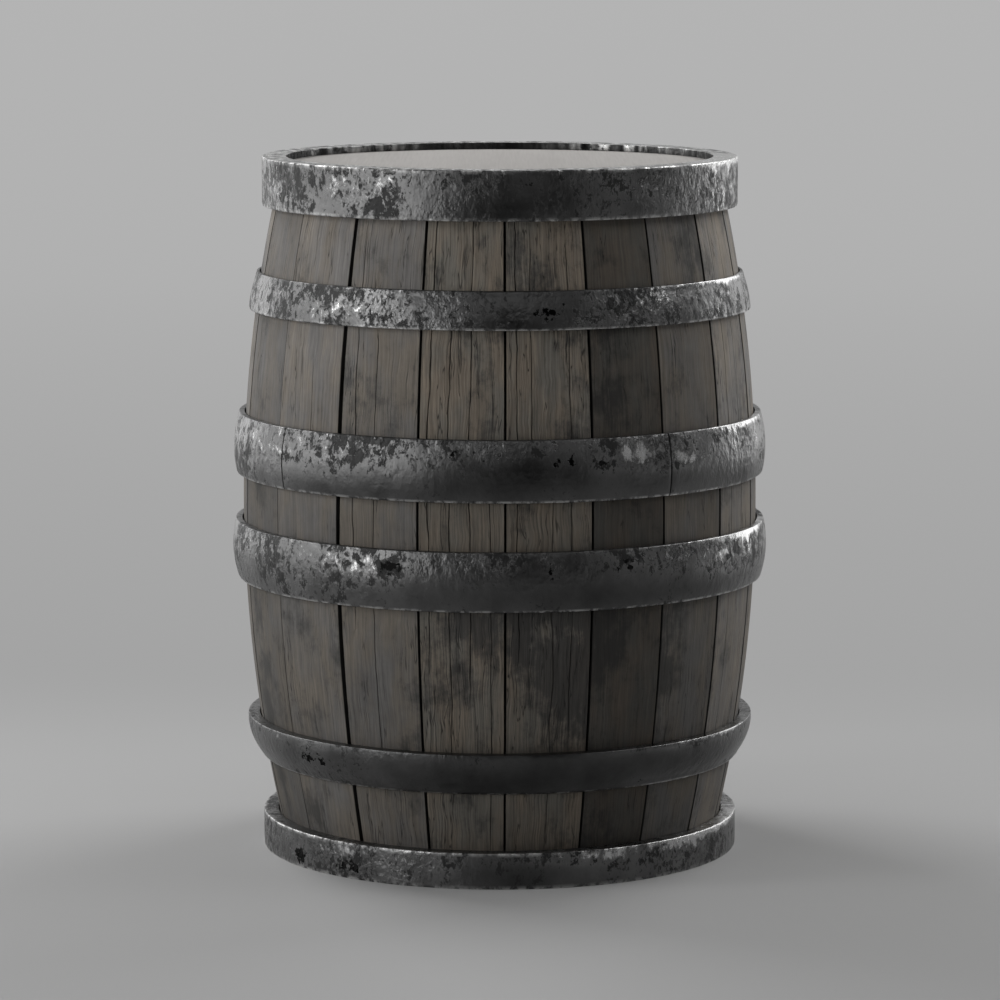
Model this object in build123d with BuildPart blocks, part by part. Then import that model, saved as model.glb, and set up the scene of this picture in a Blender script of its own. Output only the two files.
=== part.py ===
"""A wooden firkin: a nine gallon cask of bent staves bound by six iron hoops.

The cask stands on its bottom rim. The origin is the centre of that rim, +Z is up, and the front is
towards -Y. Azimuths are counted in degrees from the front towards +X. Lengths are in millimetres.
"""
from build123d import *
from math import copysign, cos, radians, sin, sqrt
import os

# The cask as a whole
height = 524.0
bilge_radius = 195.3
bulge = 32.3
stave_thickness = 21.0

# Staves: their widths round the cask, from the joint right of the front, and their worn outer edges
stave_width_shares = (
    19.0, 17.6, 18.6, 18.1, 19.3, 18.6, 19.2, 18.8, 19.1, 21.0,
    18.4, 19.1, 18.7, 18.9, 18.3, 19.1, 19.9, 19.4, 18.9,
)
first_joint_azimuth = 1.2
bung_stave = 10
stave_arris = 1.2
tongue_thickness = 7.0

# Heads: boards side by side, with straight joints at these shares of the head's radius
head_thickness = 20.0
head_clearance = 0.2
board_joint_shares = (-0.63, -0.215, 0.215, 0.61)
board_names = ("left_cant", "left_board", "middle_board", "right_board", "right_cant")
head_names = ("bottom_head", "top_head")

# Dowels between the boards of a head
dowel_radius = 4.0
dowel_length = 40.0
dowel_clearance = 0.1
dowel_place_share = 0.42

# Rim hoops: a skirt round the stave ends and a flange over them
flange_thickness = 5.3
flange_overlap = 4.0
top_rim_width = 36.7
top_rim_thickness = 7.6
bottom_rim_width = 26.7
bottom_rim_thickness = 11.1
rim_edge_radius = 1.2

# Bar hoops: place of the middle, width, and the iron's thickness at upper edge, crown and lower edge
hoop_clearance = 0.15
hoop_edge_chamfer = 0.7
upper_quarter_middle_share = 0.8090
upper_quarter_width = 28.0
upper_quarter_upper_thickness = 2.2
upper_quarter_crown_thickness = 4.4
upper_quarter_lower_thickness = 4.6
upper_bilge_middle_share = 0.5903
upper_bilge_width = 45.4
upper_bilge_upper_thickness = 4.5
upper_bilge_crown_thickness = 7.3
upper_bilge_lower_thickness = 4.5
lower_bilge_middle_share = 0.4370
lower_bilge_width = 44.0
lower_bilge_upper_thickness = 5.0
lower_bilge_crown_thickness = 7.9
lower_bilge_lower_thickness = 4.6
lower_quarter_middle_share = 0.1642
lower_quarter_width = 31.0
lower_quarter_upper_thickness = 8.6
lower_quarter_crown_thickness = 8.9
lower_quarter_lower_thickness = 2.2

# Lap of each bar hoop: a slanting slit through the iron, closed by two rivets, at the back
lap_gap = 0.3
lap_slope = 15.0
upper_quarter_lap_azimuth = 158.0
upper_bilge_lap_azimuth = 203.0
lower_bilge_lap_azimuth = 157.0
lower_quarter_lap_azimuth = 201.0
rivet_shank_radius = 3.0
rivet_head_radius = 5.2
rivet_head_rise = 1.8
rivet_head_sink = 1.0
rivet_head_fillet = 1.6
rivet_clearance = 0.05
rivet_spacing_share = 0.42

# Bung in the widest part of the rear stave, half way between the bilge hoops
bung_outer_radius = 14.3
bung_inner_radius = 12.6
bung_stand_out = 4.0
bung_reach_in = 3.0
plug_clearance = 0.1
plug_edge_radius = 0.8

# Keystone in the top head, near its front edge
keystone_upper_radius = 16.0
keystone_lower_radius = 14.8
keystone_stand_out = 1.6
keystone_edge_distance = 46.0

# How far a cutting tool runs past what it cuts
overrun = 5.0

# One litre in cubic millimetres
litre = 1.0e6

# Values that follow from the sizes above
middle = height / 2
bend_radius = (middle**2 + bulge**2) / (2 * bulge)
bend_centre = bilge_radius - bend_radius


def stave_radius(level, depth=0.0):
    """Radius of the cask's wall at a height, a depth below its outer face."""
    return bend_centre + sqrt((bend_radius - depth) ** 2 - (level - middle) ** 2)


def outward(azimuth):
    """Unit vector that points away from the cask's axis at an azimuth from the front."""
    return Vector(sin(radians(azimuth)), -cos(radians(azimuth)), 0)


def radial_plane(azimuth):
    """Upright plane through the cask's axis: its X runs outwards, its Y up."""
    direction = outward(azimuth)
    return Plane(origin=(0, 0, 0), x_dir=direction, z_dir=direction.cross(Vector(0, 0, 1)))


def save(piece, name):
    """Label a finished piece and write it to its own file."""
    piece.label = name
    export_step(piece, f"parts/{name}.step")


os.makedirs("parts", exist_ok=True)

# Rim seats, rebates and heads, each as (bottom, top)
skirt_levels = (bottom_rim_width, height - top_rim_width)
seat_radii = tuple(stave_radius(level) for level in skirt_levels)
rebate_radii = tuple(seat - tongue_thickness for seat in seat_radii)
end_levels = (flange_thickness, height - flange_thickness)
shelf_levels = (flange_thickness + head_thickness, height - flange_thickness - head_thickness)
shelf_radii = tuple(stave_radius(level, stave_thickness) for level in shelf_levels)
head_radii = tuple(rebate - head_clearance for rebate in rebate_radii)
flange_inner_radii = tuple(radius - flange_overlap for radius in head_radii)

# Azimuth of the joint at each side of each stave
share_sum = sum(stave_width_shares)
stave_widths = [360 * share / share_sum for share in stave_width_shares]
stave_starts = [first_joint_azimuth + sum(stave_widths[:place]) for place in range(len(stave_widths))]

# Height and direction of the bung
upper_bilge_foot = upper_bilge_middle_share * height - upper_bilge_width / 2
lower_bilge_head = lower_bilge_middle_share * height + lower_bilge_width / 2
bung_level = (upper_bilge_foot + lower_bilge_head) / 2
bung_azimuth = stave_starts[bung_stave - 1] + stave_widths[bung_stave - 1] / 2
bung_length = stave_thickness + bung_stand_out + bung_reach_in
bung_foot = outward(bung_azimuth) * (bilge_radius - stave_thickness - bung_reach_in)
bung_plane = Plane(
    origin=bung_foot + Vector(0, 0, bung_level),
    x_dir=(0, 0, 1),
    z_dir=outward(bung_azimuth),
)


# Staves
for number, (start, width) in enumerate(zip(stave_starts, stave_widths), 1):
    with BuildPart() as stave:
        with BuildSketch(radial_plane(start)):
            with BuildLine():
                Polyline(
                    (shelf_radii[0], shelf_levels[0]),
                    (rebate_radii[0], shelf_levels[0]),
                    (rebate_radii[0], end_levels[0]),
                    (seat_radii[0], end_levels[0]),
                    (seat_radii[0], skirt_levels[0]),
                )
                ThreePointArc(
                    (seat_radii[0], skirt_levels[0]),
                    (bilge_radius, middle),
                    (seat_radii[1], skirt_levels[1]),
                )
                Polyline(
                    (seat_radii[1], skirt_levels[1]),
                    (seat_radii[1], end_levels[1]),
                    (rebate_radii[1], end_levels[1]),
                    (rebate_radii[1], shelf_levels[1]),
                    (shelf_radii[1], shelf_levels[1]),
                )
                ThreePointArc(
                    (shelf_radii[1], shelf_levels[1]),
                    (bilge_radius - stave_thickness, middle),
                    (shelf_radii[0], shelf_levels[0]),
                )
            make_face()
        revolve(axis=Axis.Z, revolution_arc=width)
        chamfer(stave.edges().sort_by(SortBy.LENGTH)[-2:], stave_arris)
        if number == bung_stave:
            with BuildSketch(bung_plane):
                Circle(bung_inner_radius + plug_clearance)
            with BuildSketch(bung_plane.offset(bung_length)):
                Circle(bung_outer_radius + plug_clearance)
            loft(mode=Mode.SUBTRACT)
    save(stave.part, f"stave_{number:02d}")


# Bung
with BuildPart() as bung:
    with BuildSketch(bung_plane):
        Circle(bung_inner_radius)
    with BuildSketch(bung_plane.offset(bung_length)):
        Circle(bung_outer_radius)
    loft()
    fillet(bung.edges().filter_by(GeomType.CIRCLE), plug_edge_radius)
save(bung.part, "bung")


# Heads: boards with dowel holes across their joints, and the keystone's hole in the top middle board
head_floors = (end_levels[0], shelf_levels[1])
keystone_place = (0, keystone_edge_distance - head_radii[1])
keystone_plane = Plane.XY.offset(head_floors[1])
keystone_length = head_thickness + keystone_stand_out

for head_name, floor, head_radius in zip(head_names, head_floors, head_radii):
    joints = [share * head_radius for share in board_joint_shares]
    sides = [-head_radius, *joints, head_radius]
    dowel_level = floor + head_thickness / 2
    dowel_places = [
        (joint, side * dowel_place_share * head_radius, dowel_level)
        for joint in joints
        for side in (-1, 1)
    ]
    for board_name, left, right in zip(board_names, sides, sides[1:]):
        with BuildPart() as board:
            with BuildSketch(Plane.XY.offset(floor)):
                Circle(head_radius)
                with Locations(((left + right) / 2, 0)):
                    Rectangle(right - left, 2 * head_radius, mode=Mode.INTERSECT)
            extrude(amount=head_thickness)
            with Locations(*[Location(place, (0, 90, 0)) for place in dowel_places]):
                Cylinder(
                    dowel_radius + dowel_clearance,
                    dowel_length + 2 * dowel_clearance,
                    mode=Mode.SUBTRACT,
                )
            if (head_name, board_name) == ("top_head", "middle_board"):
                with BuildSketch(keystone_plane):
                    with Locations(keystone_place):
                        Circle(keystone_lower_radius + plug_clearance)
                with BuildSketch(keystone_plane.offset(keystone_length)):
                    with Locations(keystone_place):
                        Circle(keystone_upper_radius + plug_clearance)
                loft(mode=Mode.SUBTRACT)
        save(board.part, f"{head_name}_{board_name}")

    with BuildPart() as dowels:
        with Locations(*[Location(place, (0, 90, 0)) for place in dowel_places]):
            Cylinder(dowel_radius, dowel_length)
    save(dowels.part, f"{head_name}_dowels")


# Keystone
with BuildPart() as keystone:
    with BuildSketch(keystone_plane):
        with Locations(keystone_place):
            Circle(keystone_lower_radius)
    with BuildSketch(keystone_plane.offset(keystone_length)):
        with Locations(keystone_place):
            Circle(keystone_upper_radius)
    loft()
    fillet(keystone.edges().filter_by(GeomType.CIRCLE), plug_edge_radius)
save(keystone.part, "keystone")


def rim_hoop(name, end, skirt_end, flange_face, seat_radius, thickness, flange_inner_radius):
    """One closed angle ring: a flange between end and flange_face, and a skirt to skirt_end."""
    bore_radius = seat_radius + hoop_clearance
    outer_radius = bore_radius + thickness
    with BuildPart() as hoop:
        with BuildSketch(Plane.XZ) as section:
            with BuildLine():
                Polyline(
                    (flange_inner_radius, end),
                    (outer_radius, end),
                    (outer_radius, skirt_end),
                    (bore_radius, skirt_end),
                    (bore_radius, flange_face),
                    (flange_inner_radius, flange_face),
                    close=True,
                )
            make_face()
            fillet(section.vertices().group_by(Axis.X)[-1], rim_edge_radius)
        revolve(axis=Axis.Z)
    save(hoop.part, name)


# Rim hoops
rim_hoop(
    "bottom_rim_hoop", 0, skirt_levels[0], end_levels[0],
    seat_radii[0], bottom_rim_thickness, flange_inner_radii[0],
)
rim_hoop(
    "top_rim_hoop", height, skirt_levels[1], end_levels[1],
    seat_radii[1], top_rim_thickness, flange_inner_radii[1],
)


# Bar hoops, each as its middle share, width, three thicknesses and the azimuth of its lap
bar_hoops = {
    "upper_quarter_hoop": (
        upper_quarter_middle_share, upper_quarter_width, upper_quarter_upper_thickness,
        upper_quarter_crown_thickness, upper_quarter_lower_thickness, upper_quarter_lap_azimuth,
    ),
    "upper_bilge_hoop": (
        upper_bilge_middle_share, upper_bilge_width, upper_bilge_upper_thickness,
        upper_bilge_crown_thickness, upper_bilge_lower_thickness, upper_bilge_lap_azimuth,
    ),
    "lower_bilge_hoop": (
        lower_bilge_middle_share, lower_bilge_width, lower_bilge_upper_thickness,
        lower_bilge_crown_thickness, lower_bilge_lower_thickness, lower_bilge_lap_azimuth,
    ),
    "lower_quarter_hoop": (
        lower_quarter_middle_share, lower_quarter_width, lower_quarter_upper_thickness,
        lower_quarter_crown_thickness, lower_quarter_lower_thickness, lower_quarter_lap_azimuth,
    ),
}


def rivet(plane, grip, growth=0.0, rounding=0.0):
    """A rivet on a plane: a shank of the length of its grip, and a round head let into the iron."""
    with BuildPart() as piece:
        with BuildSketch(plane):
            Circle(rivet_shank_radius + growth)
        extrude(amount=grip)
        with BuildSketch(plane.offset(grip - rivet_head_sink)):
            Circle(rivet_head_radius + growth)
        extrude(amount=rivet_head_sink + rivet_head_rise)
        if rounding:
            fillet(piece.faces().sort_by(Axis(plane.origin, plane.z_dir))[-1].edges(), rounding)
    return piece.part


rivet_seats = []
for name, (middle_share, width, upper, crown, lower, lap_azimuth) in bar_hoops.items():
    level = middle_share * height
    bottom = level - width / 2
    top = level + width / 2
    bottom_radius = stave_radius(bottom) + lower
    crown_radius = stave_radius(level) + crown
    top_radius = stave_radius(top) + upper
    direction = outward(lap_azimuth)

    seats = []
    for share in (-rivet_spacing_share, rivet_spacing_share):
        seat_level = level + share * width / 2
        shank_level = seat_level + copysign(rivet_shank_radius, middle - seat_level)
        seat_radius = stave_radius(shank_level) + hoop_clearance
        lean = (top_radius - bottom_radius) / 2
        swell = crown_radius - (top_radius + bottom_radius) / 2
        face_radius = crown_radius + lean * share - swell * share**2
        seat = direction * seat_radius + Vector(0, 0, seat_level)
        seats.append((Plane(origin=seat, x_dir=(0, 0, 1), z_dir=direction), face_radius - seat_radius))
    rivet_seats += seats
    holes = [rivet(plane, grip, rivet_clearance) for plane, grip in seats]

    with BuildPart() as hoop:
        with BuildSketch(radial_plane(lap_azimuth + 180)) as section:
            with BuildLine():
                ThreePointArc(
                    (stave_radius(bottom, -hoop_clearance), bottom),
                    (stave_radius(level, -hoop_clearance), level),
                    (stave_radius(top, -hoop_clearance), top),
                )
                Line((stave_radius(top, -hoop_clearance), top), (top_radius, top))
                ThreePointArc((top_radius, top), (crown_radius, level), (bottom_radius, bottom))
                Line((bottom_radius, bottom), (stave_radius(bottom, -hoop_clearance), bottom))
            make_face()
            chamfer(section.vertices(), hoop_edge_chamfer)
        revolve(axis=Axis.Z)
        lap_plane = Plane(
            origin=direction * (crown_radius - crown / 2) + Vector(0, 0, bottom - overrun),
            x_dir=outward(lap_azimuth + 90 - lap_slope),
            z_dir=(0, 0, 1),
        )
        with BuildSketch(lap_plane):
            Rectangle(2 * (crown / sin(radians(lap_slope)) + overrun), lap_gap)
        extrude(amount=width + 2 * overrun, mode=Mode.SUBTRACT)
        add(holes, mode=Mode.SUBTRACT)
    save(hoop.part, name)


# Rivets of all the laps
pins = [rivet(plane, grip, rounding=rivet_head_fillet) for plane, grip in rivet_seats]
with BuildPart() as rivets:
    add(pins)
save(rivets.part, "hoop_rivets")


# What the cask holds, between its heads and its staves
with BuildPart() as contents:
    with BuildSketch(Plane.XZ):
        with BuildLine():
            Polyline(
                (shelf_radii[1], shelf_levels[1]),
                (0, shelf_levels[1]),
                (0, shelf_levels[0]),
                (shelf_radii[0], shelf_levels[0]),
            )
            ThreePointArc(
                (shelf_radii[0], shelf_levels[0]),
                (bilge_radius - stave_thickness, middle),
                (shelf_radii[1], shelf_levels[1]),
            )
        make_face()
    revolve(axis=Axis.Z)
print(f"The cask holds {contents.part.volume / litre:.1f} litres")
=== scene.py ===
"""Looks of the wooden firkin: weathered staves, worn iron hoops, pale heads, floor, lamps and camera.

Lengths are metres in the part's own frame: +Z up, the front towards -Y. Sizes of the pieces are
written in millimetres times MM. Azimuths are degrees from the front towards +X.
"""

import logging
import math
from dataclasses import dataclass
from enum import Enum
from functools import partial
from typing import Sequence

import bpy
import numpy as np
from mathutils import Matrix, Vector


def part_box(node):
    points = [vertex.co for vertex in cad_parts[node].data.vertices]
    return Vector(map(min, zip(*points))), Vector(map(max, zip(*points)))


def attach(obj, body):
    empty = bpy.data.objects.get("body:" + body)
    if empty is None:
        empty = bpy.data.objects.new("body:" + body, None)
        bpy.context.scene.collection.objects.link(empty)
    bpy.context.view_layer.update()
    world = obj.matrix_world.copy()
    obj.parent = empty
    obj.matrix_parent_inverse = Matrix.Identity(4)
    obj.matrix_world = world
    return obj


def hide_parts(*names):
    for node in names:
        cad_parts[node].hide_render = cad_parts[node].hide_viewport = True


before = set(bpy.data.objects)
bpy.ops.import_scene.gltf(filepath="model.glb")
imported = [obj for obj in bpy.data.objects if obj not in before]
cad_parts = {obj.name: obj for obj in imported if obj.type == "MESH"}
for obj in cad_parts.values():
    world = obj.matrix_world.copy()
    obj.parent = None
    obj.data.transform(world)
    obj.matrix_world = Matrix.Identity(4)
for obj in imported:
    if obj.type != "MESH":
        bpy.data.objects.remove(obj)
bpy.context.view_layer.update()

MM = 0.001
Pair = tuple[float, float]
Triple = tuple[float, float, float]
Array = np.ndarray

# Factors that scatter whole numbers without a visible order, and how a seed shifts them
SCATTER = np.array([127.1, 311.7, 74.7])
SCATTER_SEED = 53.3
SCATTER_GAIN = 43758.5453
SEED_SHIFT = 1.37

log = logging.getLogger("firkin")


def linear(colour: str) -> tuple[float, float, float, float]:
    """Turn an sRGB hex colour into the linear colour that a shader takes.

    Args:
        colour: the colour as "#rrggbb".

    Returns:
        Linear red, green, blue and an alpha of 1.
    """
    shares = [int(colour[place:place + 2], 16) / 255 for place in (1, 3, 5)]
    curve = [s / 12.92 if s <= 0.04045 else ((s + 0.055) / 1.055) ** 2.4 for s in shares]
    return (*curve, 1.0)


def add_node(tree: bpy.types.NodeTree, kind: str, inputs: dict | Sequence = (), take: int | str = 0,
             **settings: object) -> bpy.types.NodeSocket | None:
    """Add one shader node with its settings, values and links.

    Args:
        tree: the material's node tree.
        kind: the node's type without its "ShaderNode" prefix.
        inputs: values or output sockets, in the inputs' order or by their names or numbers.
        take: the output that is wanted.
        settings: the node's own properties.

    Returns:
        The wanted output, or None where the node has none.
    """
    node = tree.nodes.new("ShaderNode" + kind)
    for name, value in settings.items():
        setattr(node, name, value)
    for name, value in inputs.items() if isinstance(inputs, dict) else enumerate(inputs):
        if isinstance(value, bpy.types.NodeSocket):
            tree.links.new(value, node.inputs[name])
        else:
            node.inputs[name].default_value = value
    return node.outputs[take] if node.outputs else None


def features(across: float, deep: float, along: float) -> Triple:
    """Scale of a noise whose features have a size in millimetres along X, Y and Z."""
    return (1 / (across * MM), 1 / (deep * MM), 1 / (along * MM))


def new_material(name: str) -> tuple[bpy.types.Material, bpy.types.NodeTree]:
    """Make an empty node material.

    Args:
        name: the material's name.

    Returns:
        The material and its node tree.
    """
    material = bpy.data.materials.new(name)
    material.use_nodes = True
    material.node_tree.nodes.clear()
    return material, material.node_tree


def deselect_all() -> None:
    """Leave object mode and nothing selected."""
    if bpy.context.object and bpy.context.object.mode != "OBJECT":
        bpy.ops.object.mode_set(mode="OBJECT")
    bpy.ops.object.select_all(action="DESELECT")


def read_points(piece: bpy.types.Object) -> Array:
    """Read where the mesh's vertices lie.

    Args:
        piece: the object whose mesh is read.

    Returns:
        Rows x, y, z, one for each vertex.
    """
    points = np.empty(len(piece.data.vertices) * 3)
    piece.data.vertices.foreach_get("co", points)
    return points.reshape(-1, 3)


def write_points(piece: bpy.types.Object, points: Array) -> None:
    """Move the mesh's vertices to an array of rows x, y, z."""
    piece.data.vertices.foreach_set("co", points.ravel())
    piece.data.update()


def store(piece: bpy.types.Object, name: str, values: Array) -> None:
    """Keep one value or vector for each vertex as a named attribute.

    Args:
        piece: the object whose mesh gets the attribute.
        name: the attribute's name, which the materials read.
        values: one row for each vertex, of one or three numbers.
    """
    kind, key = ("FLOAT_VECTOR", "vector") if values.ndim == 2 else ("FLOAT", "value")
    attribute = piece.data.attributes.new(name, kind, "POINT")
    attribute.data.foreach_set(key, values.ravel())


def azimuths(points: Array) -> Array:
    """Azimuth of each point in degrees from the front towards +X."""
    return np.degrees(np.arctan2(points[:, 0], -points[:, 1]))


def turn_between(azimuth: Array, start: Array | float) -> Array:
    """Shortest turn from one azimuth to another, from -180 to 180 degrees."""
    return (azimuth - start + 180) % 360 - 180


def around(radius: Array, azimuth: Array, level: Array) -> Array:
    """Points at a radius, an azimuth in degrees and a height."""
    angle = np.radians(azimuth)
    return np.stack([radius * np.sin(angle), -radius * np.cos(angle), level], axis=1)


def places_along(travel: Array, lane: float = 0.0) -> Array:
    """Places for a noise that changes along one line only, in a lane of its own."""
    return np.stack([travel, np.full_like(travel, lane), np.zeros_like(travel)], axis=1)


def lattice(cells: Array, seed: float) -> Array:
    """Repeatable scattered numbers between 0 and 1, one for each whole-numbered cell."""
    mixed = cells @ SCATTER + seed * SCATTER_SEED
    return np.modf(np.abs(np.sin(mixed) * SCATTER_GAIN))[0]


def waves(places: Array, length: float, seed: float, depth: int = 3) -> Array:
    """Smooth repeatable noise between 0 and 1 at each place.

    Args:
        places: rows x, y, z.
        length: the size of the largest features, in the unit of the places.
        seed: gives another pattern.
        depth: how many layers are added, each half as large and half as strong.

    Returns:
        One number for each place.
    """
    total, weight = np.zeros(len(places)), 0.0
    for layer in range(depth):
        at = places * 2.0 ** layer / length + seed * SEED_SHIFT
        corner = np.floor(at)
        share = at - corner
        share = share * share * (3 - 2 * share)
        value = np.zeros(len(places))
        for step in np.ndindex(2, 2, 2):
            part = np.prod(np.where(np.array(step), share, 1 - share), axis=1)
            value += part * lattice(corner + step, seed + layer)
        total += value * 0.5 ** layer
        weight += 0.5 ** layer
    return total / weight


def finish_mesh(piece: bpy.types.Object, angle: float) -> None:
    """Merge doubles, turn the faces outwards and shade the mesh smooth.

    Args:
        piece: the object whose mesh is finished.
        angle: the sharpest bend that is shaded smooth, in degrees.
    """
    deselect_all()
    piece.select_set(True)
    bpy.context.view_layer.objects.active = piece
    bpy.ops.object.mode_set(mode="EDIT")
    bpy.ops.mesh.select_all(action="SELECT")
    bpy.ops.mesh.remove_doubles(threshold=0.01 * MM)
    bpy.ops.mesh.normals_make_consistent(inside=False)
    bpy.ops.object.mode_set(mode="OBJECT")
    bpy.ops.object.shade_smooth_by_angle(angle=math.radians(angle))


@dataclass(frozen=True)
class Bend:
    """The bent wall that all staves share, as the radius of its outer face at any height.

    Attributes:
        height: height of the cask.
        bilge_radius: outer radius at the widest part.
        bulge: how much narrower the ends are than the widest part, on the radius.
        wall: thickness of the staves.
        tongue: thickness that is left of them beside the heads and inside the rim hoops.
        shelf_depth: how far from each end they are cut back to that.
    """

    height: float = 524.0 * MM
    bilge_radius: float = 195.3 * MM
    bulge: float = 32.3 * MM
    wall: float = 21.0 * MM
    tongue: float = 7.0 * MM
    shelf_depth: float = 25.3 * MM

    @property
    def middle(self) -> float:
        """Height of the widest part."""
        return self.height / 2

    @property
    def bend_radius(self) -> float:
        """Radius of the arc that the staves are bent to."""
        return (self.middle ** 2 + self.bulge ** 2) / (2 * self.bulge)

    def radius(self, level: Array, depth: float = 0.0) -> Array:
        """Radius of the wall at a height, a depth below its outer face."""
        rise = np.sqrt((self.bend_radius - depth) ** 2 - (level - self.middle) ** 2)
        return self.bilge_radius - self.bend_radius + rise


@dataclass(frozen=True)
class OakFinish:
    """Weathered oak: split staves greyed by sun and rain, with dark checks and stains.

    Attributes:
        name: the material's name.
        grey: the board where the weather has bleached it.
        brown: the board where its own colour shows.
        stain_and_shade: the damp and iron stains, and the wide painted shade on some staves.
        stained: how much of the board is stained, from 0 to 1.
        grain: how strongly the fine grain shows, from 0 to 1.
        lines: how many hair checks it has, from 0 to 1.
        crack: the shadow inside hair checks, worm holes and open checks.
        joint: the shadow in the joint beside the stave.
        sway: how far the grain's noise carries it to one side, in metres.
    """

    name: str
    grey: str
    brown: str
    stain_and_shade: str
    stained: float
    grain: float
    lines: float
    crack: str = "#12100e"
    joint: str = "#0d0c0b"
    sway: float = 5 * MM

    def material(self) -> bpy.types.Material:
        """Build the board's material on its own straightened coordinates.

        Returns:
            The finished material.
        """
        made, tree = new_material(self.name)
        node = partial(add_node, tree)
        board = node("Attribute", take="Vector", attribute_name="board")
        check, arris, tone, soil_and_shade = (
            node("Attribute", take="Fac", attribute_name=name)
            for name in ("check", "arris", "tone", "soil_and_shade")
        )

        # The grain sways a millimetre or two to each side every 25 mm
        sway_at = node("VectorMath", (board, features(40, 40, 24)), operation="MULTIPLY")
        sway = node("TexNoise", {"Vector": sway_at, "Scale": 1.0, "Detail": 2.0}, take=1)
        swayed = node("VectorMath", (sway, (self.sway, 0.0, 0.0), board), operation="MULTIPLY_ADD")
        patterns = {
            # Fine grain of the split face: pores a millimetre apart and 45 mm long
            "fine": (swayed, features(1.2, 1.2, 45), {"Detail": 3.0, "Roughness": 0.6}),
            # Bleached and brown areas half a hand wide, ragged along the grain
            "cloud": (board, features(24, 24, 62), {"Detail": 8.0, "Roughness": 0.62}),
            # Damp stains of 20 to 60 mm with ragged edges
            "blot": (board, features(40, 40, 52), {"Detail": 10.0, "Roughness": 0.68}),
            # Hair checks follow the level lines of this stretched noise
            "line": (swayed, features(6.5, 6.5, 110), {"Detail": 3.0, "Distortion": 0.2}),
            # Patches of the board in which the hair checks show
            "patch": (board, features(17, 17, 55), {"Detail": 2.0}),
        }
        noise = {}
        for name, (base, scale, settings) in patterns.items():
            at = node("VectorMath", (base, scale), operation="MULTIPLY")
            noise[name] = node("TexNoise", {"Vector": at, "Scale": 1.0, **settings})
        fine, blot = noise["fine"], noise["blot"]

        # Hair checks 0.4 mm wide, in patches
        line_off = node("Math", (noise["line"], 0.5), operation="SUBTRACT")
        line_near = node("Math", (line_off,), operation="ABSOLUTE")
        thin = node("MapRange", (line_near, 0.002, 0.011, 1.0, 0.0))
        clear = 0.66 - 0.34 * self.lines
        some = node("MapRange", (noise["patch"], clear, clear + 0.08, 0.0, 0.75))
        hair = node("Math", (thin, some), operation="MULTIPLY")
        # Worm holes and knocks: sparse dots of a millimetre
        dot_at = node("VectorMath", (board, features(23, 23, 31)), operation="MULTIPLY")
        dot = node("TexVoronoi", {"Vector": dot_at, "Scale": 1.0})
        hole = node("MapRange", (dot, 0.022, 0.05, 0.8, 0.0))
        marks = node("Math", (hair, hole), operation="MAXIMUM")

        # The board's own colours and grain, paler and darker areas, and the tone's painted light and shade
        bleached = node("MapRange", (noise["cloud"], 0.40, 0.60, 0.0, 1.0))
        board_colours = {0: bleached, 6: linear(self.grey), 7: linear(self.brown)}
        mixed = node("Mix", board_colours, take=2, data_type="RGBA")
        pores = node("MapRange", (fine, 0.3, 0.7, 1 - 0.5 * self.grain, 1 + 0.36 * self.grain))
        worn = node("MapRange", (blot, 0.3, 0.7, 1.24, 0.76))
        uneven = node("Math", (pores, worn), operation="MULTIPLY")
        toned = node("Math", (uneven, tone), operation="MULTIPLY")
        grained = node("VectorMath", {0: mixed, "Scale": toned}, operation="SCALE")
        # Stains run along the grain and gather where the stave is soiled and where shade is painted on it
        streaks = node("Math", (fine, -0.14, blot), operation="MULTIPLY_ADD")
        wet_and_shaded = node("Math", (soil_and_shade, 0.16, streaks), operation="MULTIPLY_ADD")
        damp = 0.54 - 0.16 * self.stained
        soiled_and_shaded = node("MapRange", (wet_and_shaded, damp, damp + 0.12, 0.0, 0.85))
        darkening = node("VectorMath", {0: linear(self.stain_and_shade)[:3], "Scale": toned}, operation="SCALE")
        stained = node("Mix", {0: soiled_and_shaded, 6: grained, 7: darkening}, take=2, data_type="RGBA")
        opened = node("Math", (marks, check), operation="MAXIMUM")
        split = node("Mix", {0: opened, 6: stained, 7: linear(self.crack)}, take=2, data_type="RGBA")
        colour = node("Mix", {0: arris, 6: split, 7: linear(self.joint)}, take=2, data_type="RGBA")

        relief = node("MapRange", (fine, 0.3, 0.7, 0.0, 0.3))
        height = node("Math", (relief, marks), operation="SUBTRACT")
        bump = node("Bump", {"Height": height, "Strength": 0.8, "Distance": 0.4 * MM})
        rough = node("MapRange", (fine, 0.2, 0.8, 0.66, 0.82))
        look = {"Base Color": colour, "Roughness": rough, "Normal": bump, "Specular IOR Level": 0.4}
        node("OutputMaterial", (node("BsdfPrincipled", look),))
        return made


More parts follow.
